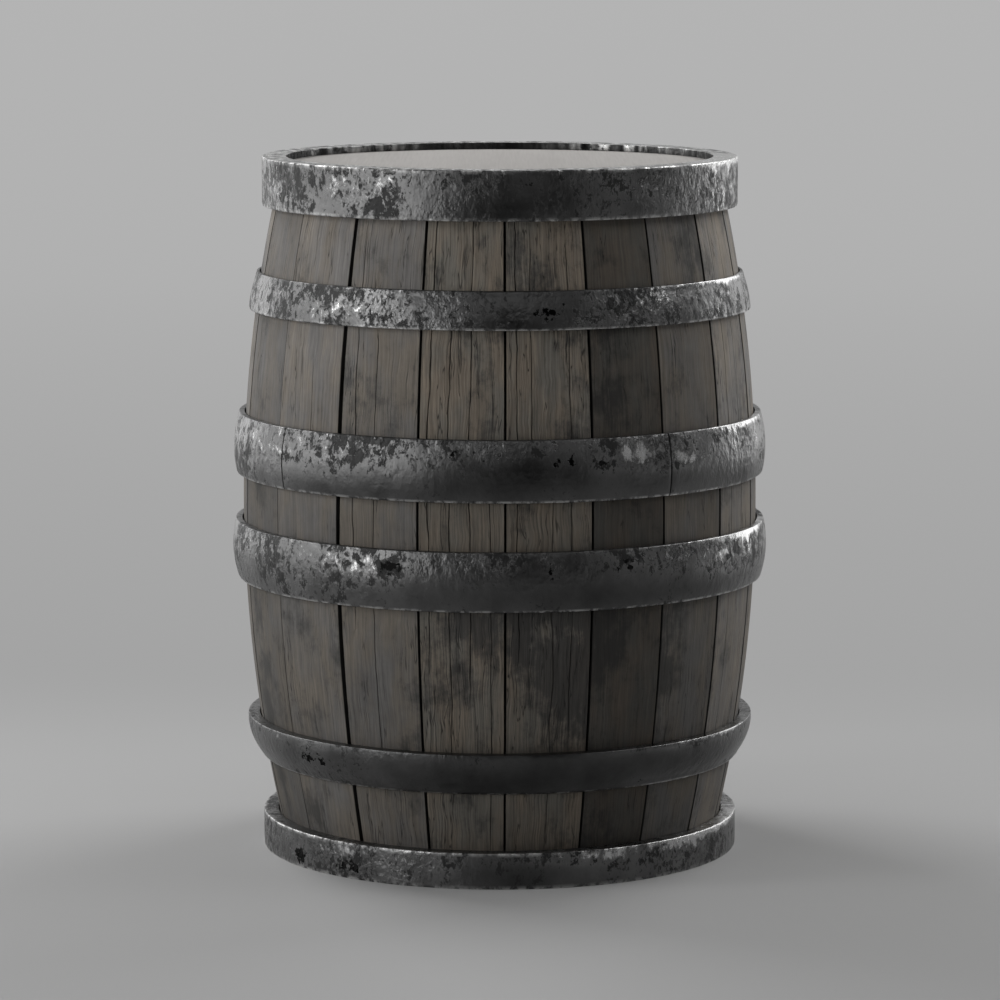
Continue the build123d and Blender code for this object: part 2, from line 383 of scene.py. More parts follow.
@dataclass(frozen=True)
class IronFinish:
    """Forged wrought iron rubbed dull: black scale, rust pits, worn edges, painted highlights and shade.

    Attributes:
        name: the material's name.
        rubbed: the bare metal.
        scale: the forge scale and old rust in ragged patches.
        pit: the bottoms of pits and scores, and the painted shade streaks on a flange's inner face.
        worn: the metal on rubbed edges, and the painted reflection streaks on a flange's inner face.
        cover: how much of the metal the scale covers, from 0 to 1.
        smooth: roughness of the bare metal.
        scale_metal: how metallic the scale and the rust are, far less than the iron under them.
    """

    name: str
    rubbed: str = "#737373"
    scale: str = "#262626"
    pit: str = "#0c0c0c"
    worn: str = "#d2d2d1"
    cover: float = 0.45
    smooth: float = 0.34
    scale_metal: float = 0.35

    def material(self) -> bpy.types.Material:
        """Build the metal's material on the hoop's own coordinates.

        Returns:
            The finished material.
        """
        made, tree = new_material(self.name)
        node = partial(add_node, tree)
        place = node("TexCoord", take="Object")
        edge, groove_and_shade, polish_and_painted_light, pitting, beaten = (
            node("Attribute", take="Fac", attribute_name=name)
            for name in ("edge", "groove_and_shade", "polish_and_painted_light", "pitting", "hammered")
        )
        # A little taller than wide, as the rust ran down the hoop
        tall = node("VectorMath", (place, (1.0, 1.0, 0.75)), operation="MULTIPLY")
        # Coordinates, largest features in millimetres, detail, roughness and twist of each noise
        layers = {
            "ragged": (tall, 8.0, 8.0, 0.68, 0.3), "island": (tall, 7.0, 8.0, 0.72, 0.25),
            "grit": (tall, 3.0, 3.0, 0.6, 0.0), "hammer": (tall, 6.5, 3.0, 0.55, 0.0),
            "pit": (place, 5.5, 5.0, 0.66, 0.0), "nest": (place, 34.0, 1.0, 0.5, 0.0),
            "smear": (place, 34.0, 6.0, 0.62, 0.0), "area": (place, 46.0, 2.0, 0.5, 0.0),
            "worked": (place, 30.0, 2.0, 0.5, 0.0),
        }
        noise = {}
        for name, (at, size, detail, rough, twist) in layers.items():
            values = {"Scale": 1 / (size * MM), "Detail": detail, "Roughness": rough, "Distortion": twist}
            noise[name] = node("TexNoise", {"Vector": at, **values})
        ragged, grit, smear = noise["ragged"], noise["grit"], noise["smear"]

        # Bared metal with ragged edges, partly painted highlight, and painted shade as dark oiled metal
        reach = node("Math", (ragged, 4.0, polish_and_painted_light), operation="MULTIPLY_ADD")
        bared_and_painted_light = node("MapRange", (reach, 2.45, 2.7, 0.0, 1.0))
        oiled = node("MapRange", (polish_and_painted_light, -1.0, 0.0, 1.0, 0.0))
        handled_and_shaded = node("Math", (bared_and_painted_light, oiled), operation="MAXIMUM")
        # Areas a hand wide with more or less scale
        area = node("Math", (noise["area"], 0.5), operation="MULTIPLY")
        spread = node("Math", (handled_and_shaded, -0.16, area), operation="MULTIPLY_ADD")
        # Forge scale in ragged islands of 2 to 8 mm
        island = node("Math", (noise["island"], spread), operation="ADD")
        low = 0.86 - 0.2 * self.cover
        scaled = node("MapRange", (island, low, low + 0.035, 0.0, 1.0))
        # Grit of 1 to 3 mm between the islands
        gritty = node("Math", (grit, spread), operation="ADD")
        specks = node("MapRange", (gritty, low + 0.03, low + 0.08, 0.0, 0.7))
        dark = node("Math", (scaled, specks), operation="MAXIMUM")
        # Black pits of 1 to 4 mm in small clusters, the scored lines and the flange's painted shade streaks
        nest = node("Math", (pitting, 0.24, noise["nest"]), operation="MULTIPLY_ADD")
        pits = node("Math", (noise["pit"], nest), operation="ADD")
        pitted = node("MapRange", (pits, 1.34, 1.38, 0.0, 1.0))
        holes = node("Math", (pitted, groove_and_shade), operation="MAXIMUM")

        # Smears of 15 to 40 mm dull the metal; it is brightest where bared most, partly a painted highlight
        dull = node("MapRange", (smear, 0.3, 0.7, 0.7, 1.25))
        bright = node("MapRange", (reach, 2.78, 3.12, 1.0, 3.5))
        sheen_and_shade = node("Math", (oiled, -0.66, bright), operation="MULTIPLY_ADD")
        tint = node("Math", (dull, sheen_and_shade), operation="MULTIPLY")
        metal = node("VectorMath", {0: linear(self.rubbed)[:3], "Scale": tint}, operation="SCALE")
        forged = node("Mix", {0: dark, 6: metal, 7: linear(self.scale)}, take=2, data_type="RGBA")
        # The worn line along an edge is broken, but whole where the hoop was bared
        broken = node("MapRange", (ragged, 0.45, 0.56, 0.0, 1.0))
        whole = node("Math", (broken, bared_and_painted_light), operation="MAXIMUM")
        bare = node("Math", (edge, whole), operation="MULTIPLY")
        edged = node("Mix", {0: bare, 6: forged, 7: linear(self.worn)}, take=2, data_type="RGBA")
        colour = node("Mix", {0: holes, 6: edged, 7: linear(self.pit)}, take=2, data_type="RGBA")

        fair = node("MapRange", (smear, 0.3, 0.7, self.smooth - 0.05, self.smooth + 0.07))
        coarse = node("Math", (dark, 0.2, fair), operation="MULTIPLY_ADD")
        rubbing = node("Math", (bared_and_painted_light, -0.1, coarse), operation="MULTIPLY_ADD")
        rough = node("Math", (holes, 0.4, rubbing), operation="MULTIPLY_ADD", use_clamp=True)
        metallic = node("MapRange", (dark, 0.0, 1.0, 1.0, self.scale_metal))
        # Hammer marks of half a centimetre under the grit and the scale, strong in some areas only
        hammered = node("Math", (noise["hammer"], 3.0, grit), operation="MULTIPLY_ADD")
        sunk = node("Math", (dark, -0.5, hammered), operation="MULTIPLY_ADD")
        height = node("Math", (holes, -1.2, sunk), operation="MULTIPLY_ADD")
        worked = node("MapRange", (noise["worked"], 0.38, 0.62, 0.2, 0.7))
        calm = node("MapRange", (handled_and_shaded, 0.0, 1.0, worked, 0.15))
        uneven = node("Math", (calm, beaten), operation="ADD")
        bump = node("Bump", {"Height": height, "Strength": uneven, "Distance": 0.8 * MM})
        look = {"Base Color": colour, "Roughness": rough, "Normal": bump, "Metallic": metallic}
        node("OutputMaterial", (node("BsdfPrincipled", look),))
        return made


@dataclass(frozen=True)
class HeadFinish:
    """Planed oak of a sheltered head: pale, dry and matt, with faint straight grain along Y.

    Attributes:
        name: the material's name.
        body: the board's own colour.
        dark: the soft stripes of its grain.
    """

    name: str
    body: str = "#b9b6b3"
    dark: str = "#b0adaa"

    def material(self) -> bpy.types.Material:
        """Build the board's material on the object's own coordinates.

        Returns:
            The finished material.
        """
        made, tree = new_material(self.name)
        node = partial(add_node, tree)
        place = node("TexCoord", take="Object")
        # Planed grain 1.6 mm apart and 70 mm long
        fine_at = node("VectorMath", (place, features(1.6, 70, 1.6)), operation="MULTIPLY")
        fine = node("TexNoise", {"Vector": fine_at, "Scale": 1.0, "Detail": 4.0})
        # Paler and darker areas along the boards
        broad_at = node("VectorMath", (place, features(45, 200, 45)), operation="MULTIPLY")
        broad = node("TexNoise", {"Vector": broad_at, "Scale": 1.0, "Detail": 3.0})
        both = node("Math", (fine, broad), operation="ADD")
        amount = node("MapRange", (both, 0.8, 1.2, 0.0, 1.0))
        colours = {0: amount, 6: linear(self.dark), 7: linear(self.body)}
        colour = node("Mix", colours, take=2, data_type="RGBA")
        bump = node("Bump", {"Height": fine, "Strength": 0.15, "Distance": 0.1 * MM})
        look = {"Base Color": colour, "Roughness": 0.8, "Normal": bump, "Specular IOR Level": 0.3}
        node("OutputMaterial", (node("BsdfPrincipled", look),))
        return made


class Weathering(Enum):
    """The ways in which the staves have weathered."""

    BLEACHED = OakFinish("weathered_split_oak_bleached", "#5d5b59", "#645e56", "#403f3d", 0.42, 0.62, 0.55)
    CHECKED = OakFinish("weathered_split_oak_checked", "#5c5953", "#645c52", "#353433", 0.45, 0.9, 0.95)
    SOILED = OakFinish("weathered_split_oak_soiled", "#585651", "#5f574e", "#3b3a38", 0.55, 0.65, 0.5)


@dataclass(frozen=True)
class Check:
    """One open check in a stave: a wandering crack along the grain.

    Attributes:
        across: where it lies across the stave, from 0 at its left edge to 1.
        foot: height share at which it starts.
        head: height share at which it ends.
        width: how wide it opens, in metres.
        wander: how far it strays to each side, in metres.
    """

    across: float
    foot: float
    head: float
    width: float
    wander: float


@dataclass(frozen=True)
class StainAndShade:
    """One damp or sooty stain on a stave; some are wide painted shade laid across it instead.

    Attributes:
        across: its middle across the stave, from 0 at the left edge to 1.
        level: height of its middle, in metres.
        wide: its reach to each side, as a share of the stave's width.
        tall: its reach up and down, in metres.
        depth: how dark it is, or below 0 where the wood is cleaner.
    """

    across: float
    level: float
    wide: float
    tall: float
    depth: float


@dataclass(frozen=True)
class StaveLook:
    """How one stave has weathered. The values given here are those of the staves at the back.

    Attributes:
        weathering: its finish.
        tone: how pale its wood is beside the finish.
        joint: how far the joint at its left has opened, in metres.
        checks: its open checks, from left to right.
        stains_and_shade: its stains, some of them wide painted shade.
    """

    weathering: Weathering = Weathering.BLEACHED
    tone: float = 1.2
    joint: float = 1.4 * MM
    checks: Sequence[Check] = ()
    stains_and_shade: Sequence[StainAndShade] = ()


@dataclass
class Stave:
    """One bent stave: a slab in board coordinates, moved onto its place in the wall.

    Attributes:
        number: the stave's number, from the front to the right.
        bend: the wall that it is part of.
        start: azimuth of its left joint.
        end: azimuth of its right joint.
        look: how it has weathered.
        right_joint: how far the joint at its right has opened, in metres.
        finish: its material.
        painted_foot_shade: painted shade, how dark the wood is painted at its foot, where less light falls.
        painted_head_light: painted light, how pale the wood is painted at its head, lit from above.
        painted_bilge_shade: painted shade, how much darker the wood is painted between the bilge hoops.
        bilge_reach: how far up and down that reaches, as a share of the height.
        cell: width of the faces between the checks.
        row: height of the faces.
        arris: width of the softened edges.
        nick: how deep the edges are nicked.
        flatness: how flat the face is across, from 0 where it is round to 1.
        swell: how deep the face is worn into hollows.
        fade: how soon a check opens and closes at its ends, as a share of the height.
        least_check: half the width of a check's line of vertices where it is closed.
        black_check: half the width from which a check is black.
        check_depth: how deep a check is beside half its width.
        black_joint: how far a joint would open for its painted shadow to cover the whole arris.
        smooth_angle: the sharpest bend that is shaded smooth, in degrees.
    """

    number: int
    bend: Bend
    start: float
    end: float
    look: StaveLook
    right_joint: float
    finish: bpy.types.Material
    painted_foot_shade: float = 0.64
    painted_head_light: float = 1.3
    painted_bilge_shade: float = 0.16
    bilge_reach: float = 0.1
    cell: float = 3.4 * MM
    row: float = 2.4 * MM
    arris: float = 0.4 * MM
    nick: float = 0.5 * MM
    flatness: float = 0.35
    swell: float = 0.55 * MM
    fade: float = 0.06
    least_check: float = 0.12 * MM
    black_check: float = 0.16 * MM
    check_depth: float = 1.6
    black_joint: float = 2.6 * MM
    smooth_angle: float = 38.0

    @property
    def node(self) -> str:
        """Name of the CAD node that it stands for."""
        return f"stave_{self.number:02d}"

    @property
    def width(self) -> float:
        """Width of the stave over the bilge, along the arc."""
        return math.radians(self.end - self.start) * self.bend.bilge_radius

    def path(self, check: Check, level: Array) -> Array:
        """Follow a check along the stave.

        Args:
            check: the check.
            level: the heights that are asked for.

        Returns:
            Its distance from the stave's left edge at each height, in metres.
        """
        places = places_along(level, check.across)
        bends = waves(places, 42 * MM, self.number + check.across) - 0.5
        kinks = waves(places, 11 * MM, self.number + 3 * check.across) - 0.5
        return check.across * self.width + 1.3 * check.wander * bends + 0.4 * check.wander * kinks

    def opening(self, check: Check, level: Array) -> Array:
        """Open a check unevenly and close it towards its ends.

        Args:
            check: the check.
            level: the heights that are asked for.

        Returns:
            Half its width at each height, in metres.
        """
        share = level / self.bend.height
        opens = np.clip((share - check.foot) / self.fade, 0, 1)
        closes = np.clip((check.head - share) / self.fade, 0, 1)
        places = places_along(level, 4 + check.across)
        return 0.5 * check.width * (opens * closes) * (0.45 + 1.1 * waves(places, 16 * MM, self.number))

    def half_joint(self, opened: float, levels: Array, seed: float) -> Array:
        """Open a joint unevenly. It is as wide at the ends of the stave as in the middle.

        Args:
            opened: how far the joint has opened, in metres.
            levels: the heights that are asked for.
            seed: makes each joint's unevenness its own.

        Returns:
            Half its width at each height, on a board that is as wide everywhere as over the bilge.
        """
        ratio = self.bend.bilge_radius / self.bend.radius(levels)
        uneven = waves(places_along(levels), 60 * MM, self.number + seed)
        return 0.5 * opened * ratio * (0.75 + 0.5 * uneven)

    def build(self) -> bpy.types.Object:
        """Model the stave.

        Returns:
            The finished object.
        """
        anchors = [0.0, *(check.across * self.width for check in self.look.checks), self.width]
        counts = [max(2, round((b - a) / self.cell)) for a, b in zip(anchors, anchors[1:])]
        columns = sum(counts) + 2 * len(self.look.checks) + 2
        low, high = (corner.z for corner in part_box(self.node))
        rows = round((high - low) / self.row)
        deselect_all()
        bpy.ops.mesh.primitive_grid_add(x_subdivisions=columns, y_subdivisions=rows, size=2.0)
        piece = bpy.context.object
        piece.name = piece.data.name = f"{self.node}_wood"
        bpy.ops.object.mode_set(mode="EDIT")
        bpy.ops.mesh.select_all(action="SELECT")
        bpy.ops.mesh.extrude_region_move(TRANSFORM_OT_translate={"value": (0.0, 0.0, -1.0)})
        bpy.ops.object.mode_set(mode="OBJECT")
        self.place(piece, columns, counts, np.linspace(low, high, rows + 1))
        finish_mesh(piece, self.smooth_angle)
        return piece

    def place(self, piece: bpy.types.Object, columns: int, counts: Sequence[int], levels: Array) -> None:
        """Move the slab's vertices onto the bent wall and store what the finish reads.

        Args:
            piece: the slab, 2 by 2 across and along and 1 deep.
            columns: how many faces it has across.
            counts: how many of the columns lie between one check and the next.
            levels: height of each row of vertices.
        """
        slab = read_points(piece)
        column = np.rint((slab[:, 0] + 1) / 2 * columns).astype(int)
        line = np.rint((slab[:, 1] + 1) / 2 * (len(levels) - 1)).astype(int)
        inner = slab[:, 2] < -0.5
        across, drop, dark = self.columns(levels, counts)
        level = levels[line]
        share = across[line, column] / self.width

        skirts = (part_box("bottom_rim_hoop")[1].z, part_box("top_rim_hoop")[0].z)
        seat = self.bend.radius(np.clip(level, *skirts))
        half = math.radians(self.end - self.start) / 2
        off = (share * 2 - 1) * half
        sagitta = seat * (1 - math.cos(half) / np.cos(off))
        azimuth = self.start + share * (self.end - self.start)
        outer = seat - self.flatness * sagitta
        # The hollows run along the grain, four times as long as they are wide
        hollows = around(outer, azimuth, level) * np.array([1, 1, 0.25])
        outer = outer - self.swell * waves(hollows, 30 * MM, self.number, 2) - drop[line, column]

        shelf = self.bend.shelf_depth
        in_rebate = (level < shelf) | (level > self.bend.height - shelf)
        back = np.where(in_rebate, seat - self.bend.tongue, self.bend.radius(level, self.bend.wall))
        tight = self.start + column / columns * (self.end - self.start)
        radius = np.where(inner, back, outer)
        write_points(piece, around(radius, np.where(inner, tight, azimuth), level))

        # Each stave is cut from another place of the same wood
        shift = self.number * np.array([0.37, 0.11, 0.53])
        store(piece, "board", np.stack([share * self.width, radius - seat, level], axis=1) + shift)
        store(piece, "check", np.where(inner, 0.0, dark[line, column]))
        # Painted shadow of the joints on the arrises beside open joints and over the whole inner face
        joints = (self.look.joint, self.right_joint)
        left, right = (min(opened / self.black_joint, 0.5) for opened in joints)
        edge = np.where(column == 0, left, np.where(column == columns, right, 0.0))
        store(piece, "arris", np.where(inner, 1.0, edge))
        # Painted light and shade: paler at the head, darker at the foot and between the bilge hoops
        rise = level / self.bend.height
        shaded = 1 - self.painted_bilge_shade * np.exp(-((rise - 0.5) / self.bilge_reach) ** 2)
        painted_top_light = self.painted_foot_shade + (self.painted_head_light - self.painted_foot_shade) * rise
        store(piece, "tone", self.look.tone * painted_top_light * shaded)
        # Stains and wide painted shade, as one map
        soil_and_shade = np.zeros(len(level))
        for stain_and_shade in self.look.stains_and_shade:
            side = (share - stain_and_shade.across) / stain_and_shade.wide
            climb = (level - stain_and_shade.level) / stain_and_shade.tall
            soil_and_shade += stain_and_shade.depth * np.exp(-(side ** 2 + climb ** 2))
        store(piece, "soil_and_shade", np.where(inner, 0.0, soil_and_shade))

    def columns(self, levels: Array, counts: Sequence[int]) -> tuple[Array, Array, Array]:
        """Lay out the columns of vertices between the edges and the checks.

        Args:
            levels: height of each row.
            counts: how many columns lie between one check and the next.

        Returns:
            For each row and column, the distance from the left joint, how far the surface is sunk,
            and how dark it is.
        """
        left = self.half_joint(self.look.joint, levels, 0.2)
        right = self.width - self.half_joint(self.right_joint, levels, 0.7)
        flush, full = np.zeros_like(levels), np.ones_like(levels)
        nicked = self.arris * 0.6 + self.nick * waves(places_along(levels), 9 * MM, self.number + 0.4)
        stops = [left + self.arris]
        for check in self.look.checks:
            middle = self.path(check, levels)
            half = np.maximum(self.opening(check, levels), self.least_check)
            stops += [middle - half, middle, middle + half]
        stops.append(right - self.arris)
        across, drop, dark = [left], [nicked], [full]
        for place, count in enumerate(counts):
            begin, stop = stops[3 * place], stops[3 * place + 1]
            across += [begin + (stop - begin) * step / count for step in range(count)]
            drop += [flush] * count
            dark += [flush] * count
            if place < len(self.look.checks):
                half = self.opening(self.look.checks[place], levels)
                across += [stop, stops[3 * place + 2]]
                drop += [flush, self.check_depth * half]
                dark += [flush, np.clip(half / self.black_check, 0, 1)]
        across += [stops[-1], right]
        drop += [flush, nicked]
        dark += [flush, full]
        return np.stack(across, axis=1), np.stack(drop, axis=1), np.stack(dark, axis=1)

    def dress(self, piece: bpy.types.Object) -> None:
        """Give the stave its finish and put it in its node's place.

        Args:
            piece: the finished mesh's object.
        """
        piece.data.materials.append(self.finish)
        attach(piece, "cask")
        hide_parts(self.node)


def section_outline(corners: Sequence[Triple], cell: float) -> list[Pair]:
    """Round a section's corners and divide its long sides.

    Args:
        corners: radius, height and rounding of each corner, in order round the section.
        cell: the longest side that is left undivided.

    Returns:
        The outline's points as radius and height.
    """
    points: list[Pair] = []
    for place, (r, z, rounding) in enumerate(corners):
        here = Vector((r, z))
        if not rounding:
            points.append((r, z))
            continue
        before = Vector(corners[place - 1][:2])
        after = Vector(corners[(place + 1) % len(corners)][:2])
        begin = here + (before - here).normalized() * rounding
        stop = here + (after - here).normalized() * rounding
        for share in (0.0, 0.33, 0.67, 1.0):
            at = begin * (1 - share) ** 2 + here * 2 * share * (1 - share) + stop * share ** 2
            points.append((at.x, at.y))
    divided: list[Pair] = []
    for place, here in enumerate(points):
        after = points[(place + 1) % len(points)]
        steps = max(1, math.ceil(math.dist(here, after) / cell))
        divided += [
            (here[0] + (after[0] - here[0]) * s / steps, here[1] + (after[1] - here[1]) * s / steps)
            for s in range(steps)
        ]
    return divided


@dataclass(frozen=True)
class RubAndPaintedLight:
    """An area of a hoop: bared, oiled dark, pitted or hammered rough, with painted highlights and shade.

    Attributes:
        azimuth: its middle, in degrees.
        height: its middle, from -1 at the hoop's lower edge to 1 at the upper edge.
        wide: its reach to each side, in degrees.
        tall: its reach up and down, as a share of half the hoop's height.
        bared_and_painted_light: 0.5 scatters bright flecks, 1.5 bares a patch, -1 oils it dark; in part
            painted light and shade.
        pitted: how thick the pits lie there, below 0 where there are fewer than elsewhere.
        hammered: how rough the hammer left it there, beside the rest.
    """

    azimuth: float
    height: float
    wide: float
    tall: float
    bared_and_painted_light: float = 0.0
    pitted: float = 0.0
    hammered: float = 0.0


@dataclass(frozen=True)
class Score:
    """A line across a hoop's outer face: the end of its lap, unless it is given another size.

    Attributes:
        azimuth: where it lies, in degrees.
        width: its width, in metres.
        depth: its depth, in metres.
    """

    azimuth: float
    width: float = 0.6 * MM
    depth: float = 1.2 * MM


@dataclass
class Hoop:
    """One forged iron hoop: a section turned round the cask, then dented, nicked and scored.

    Attributes:
        node: the CAD node that it stands for.
        finish: its material.
        corners: radius, height and rounding of the section's corners.
        edges: the (radius, height) of the outer edges, which are nicked and rubbed.
        scores: the lines across its outer face.
        rubs_and_painted_light: its bared, its dark and its pitted areas, with painted highlights and shade.
        ledge: height of a flange's outer face, which is rubbed bright, or None where it has no flange.
        seed: makes its dents its own.
        cell: the longest face across the section.
        steps: how many faces it has round the cask.
        score_room: how near to a score, in degrees, the plain sections are left out.
        dent: how deep it is dented.
        nick: how deep its edges are nicked.
        rub: how far from an edge the metal is rubbed.
        ledge_depth: how near to a flange's outer face it is rubbed.
        throat_depth: how near to the bore the flange's inner face counts.
        runs: how far apart the painted reflection and shade streaks on that face are, in degrees.
        smooth_angle: the sharpest bend that is shaded smooth, in degrees.
    """

    node: str
    finish: bpy.types.Material
    corners: Sequence[Triple]
    edges: Sequence[Pair]
    scores: Sequence[Score]
    rubs_and_painted_light: Sequence[RubAndPaintedLight]
    ledge: float | None
    seed: float
    cell: float = 2.2 * MM
    steps: int = 720
    score_room: float = 0.08
    dent: float = 0.5 * MM
    nick: float = 0.6 * MM
    rub: float = 1.8 * MM
    ledge_depth: float = 0.9 * MM
    throat_depth: float = 0.3 * MM
    runs: float = 1.7
    smooth_angle: float = 42.0

    def build(self) -> bpy.types.Object:
        """Model the hoop.

        Returns:
            The finished object.
        """
        outline = np.array(section_outline(self.corners, self.cell))
        turns = self.turns()
        deselect_all()
        bpy.ops.mesh.primitive_grid_add(x_subdivisions=len(turns), y_subdivisions=len(outline), size=2.0)
        piece = bpy.context.object
        piece.name = piece.data.name = f"{self.node}_iron"
        sheet = read_points(piece)
        column = np.rint((sheet[:, 0] + 1) / 2 * len(turns)).astype(int) % len(turns)
        row = np.rint((sheet[:, 1] + 1) / 2 * len(outline)).astype(int) % len(outline)
        write_points(piece, around(outline[row, 0], turns[column], outline[row, 1]))
        self.wear(piece)
        finish_mesh(piece, self.smooth_angle)
        return piece

    def turns(self) -> Array:
        """Space the ring's sections evenly, with three more at each score.

        Returns:
            The sections' azimuths.
        """
        plain = np.arange(self.steps) * 360 / self.steps
        cuts = []
        for score in self.scores:
            half = math.degrees(score.width / 2 / self.corners[0][0])
            cuts += [(score.azimuth + side * half) % 360 for side in (-1, 0, 1)]
        if not cuts:
            return plain
        clear = np.abs(turn_between(plain[:, None], np.array(cuts)[None, :])).min(axis=1)
        return np.sort(np.concatenate([plain[clear > self.score_room], cuts]))

    def wear(self, piece: bpy.types.Object) -> None:
        """Dent and nick the ring, store its rubbed edges, scores, rubbed areas and painted light and shade.

        Args:
            piece: the plain ring.
        """
        points = read_points(piece)
        radius = np.hypot(points[:, 0], points[:, 1])
        azimuth = azimuths(points)
        level = points[:, 2]
        radii = [corner[0] for corner in self.corners]
        bore = min(radii)
        outside = np.clip((radius - bore) / (max(radii) - bore), 0, 1) > 0.35
        broad = waves(points, 48 * MM, self.seed, 2)
        small = waves(points, 11 * MM, self.seed + 5, 2)
        pull = self.dent * broad + 0.3 * self.dent * small
        near = np.full(len(points), np.inf)
        for r, z in self.edges:
            near = np.minimum(near, np.hypot(radius - r, level - z))
        close = np.clip(1 - near / self.rub, 0, 1)
        chips = np.clip((waves(points, 7 * MM, self.seed + 9) - 0.5) * 3, 0, 1)
        pull = pull + self.nick * chips * close
        groove_and_shade = np.zeros(len(points))
        for score in self.scores:
            off = np.abs(np.radians(turn_between(azimuth, score.azimuth))) * radius
            hit = outside & (off < 0.3 * score.width)
            groove_and_shade[hit] = 1.0
            pull = pull + np.where(hit, score.depth, 0.0)
        low, high = level.min(), level.max()
        polish_and_painted_light, pitting, hammered = np.zeros((3, len(points)))
        # Painted highlights and shade are laid with the rubbed, pitted and hammered areas
        for rub in self.rubs_and_painted_light:
            side = turn_between(azimuth, rub.azimuth) / rub.wide
            rise = ((level - (low + high) / 2) / ((high - low) / 2) - rub.height) / rub.tall
            reach = np.exp(-(side ** 2 + rise ** 2))
            polish_and_painted_light += rub.bared_and_painted_light * reach
            pitting += rub.pitted * reach
            hammered += rub.hammered * reach
        if self.ledge is not None:
            # Painted reflection and shade streaks on the flange's inner face, dark and bright
            throat = radius < bore + self.throat_depth
            flat = (np.abs(level - self.ledge) < self.ledge_depth) & ~throat
            darkening = self.throat_reflection_streaks(azimuth)
            groove_and_shade = np.where(throat, darkening, groove_and_shade)
            close = np.where(throat, 1 - darkening, np.where(flat, 1.0, close))
            polish_and_painted_light = np.where(throat, 1 - darkening, polish_and_painted_light)
        fraction = (radius - pull * np.where(outside, 1.0, 0.0)) / radius
        points[:, :2] *= fraction[:, None]
        write_points(piece, points)
        worn = {
            "edge": close, "groove_and_shade": groove_and_shade, "polish_and_painted_light": polish_and_painted_light, "pitting": pitting, "hammered": hammered,
        }
        for name, values in worn.items():
            store(piece, name, values)

    def throat_reflection_streaks(self, azimuth: Array) -> Array:
        """Paint upright reflection and shade streaks on the inner flange face, sharpest at the back right.

        Args:
            azimuth: the azimuths that are asked for.

        Returns:
            How dark the face is at each, from 0 to 1.
        """
        runs = waves(places_along(azimuth), self.runs, self.seed, 2)
        cleaner = np.clip(1 - np.abs(np.abs(azimuth) - 135) / 45, 0, 1)
        streaked = np.clip(1 - np.abs(azimuth - 147) / 13, 0, 1)
        return np.clip(1.2 - (0.7 + 0.8 * cleaner) * runs - 2.4 * streaked * (runs - 0.45), 0.0, 1.0)

    def dress(self, piece: bpy.types.Object) -> None:
        """Give the hoop its finish and put it in its node's place.

        Args:
            piece: the finished mesh's object.
        """
        piece.data.materials.append(self.finish)
        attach(piece, "cask")
        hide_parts(self.node)


@dataclass(frozen=True)
class BarHoopShape:
    """Section of a bar hoop, whose bore follows the staves and whose face is crowned.

    Attributes:
        bend: the wall that it lies on.
        node: the CAD node.
        upper: thickness of the iron at its upper edge.
        crown: thickness halfway up.
        lower: thickness at its lower edge.
        seed: makes the hoop's dents its own.
        scores: the lines across its face.
        clearance: gap to the staves.
        sharp: rounding of the upper outer corner.
        rounding: rounding of the lower outer corner.
    """

    bend: Bend
    node: str
    upper: float
    crown: float
    lower: float
    seed: float
    scores: Sequence[Score]
    clearance: float = 0.15 * MM
    sharp: float = 0.5 * MM
    rounding: float = 0.9 * MM

    @property
    def ledge(self) -> None:
        """A bar hoop has no flange."""
        return None

    def corners(self) -> list[Triple]:
        """Lay out the section, with a bore that follows the staves and a crowned face.

        Returns:
            Its corners and side points, from the lower bore edge up and round.
        """
        low, high = (corner.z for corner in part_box(self.node))
        middle = (low + high) / 2
        half = (high - low) / 2
        top, foot = self.outer(high, self.upper), self.outer(low, self.lower)
        mid = self.outer(middle, self.crown)
        lean = (top - foot) / 2
        swell = mid - (top + foot) / 2
        face = [
            (mid + lean * s - swell * s * s, middle + s * half, 0.0)
            for s in (0.84, 0.63, 0.42, 0.21, 0.0, -0.21, -0.42, -0.63, -0.84)
        ]
        bore = [
            (float(self.bend.radius(middle + s * half)) + self.clearance, middle + s * half, 0.0)
            for s in (-1.0, -0.5, 0.0, 0.5, 1.0)
        ]
        return [*bore, (top, high, self.sharp), *face, (foot, low, self.rounding)]

    def outer(self, level: float, thickness: float) -> float:
        """Radius of the outer face at a height, where the iron has a thickness."""
        return float(self.bend.radius(level)) + thickness

    def edges(self) -> list[Pair]:
        """The lower outer edge of the section, which is rubbed and nicked."""
        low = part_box(self.node)[0].z
        return [(self.outer(low, self.lower), low)]


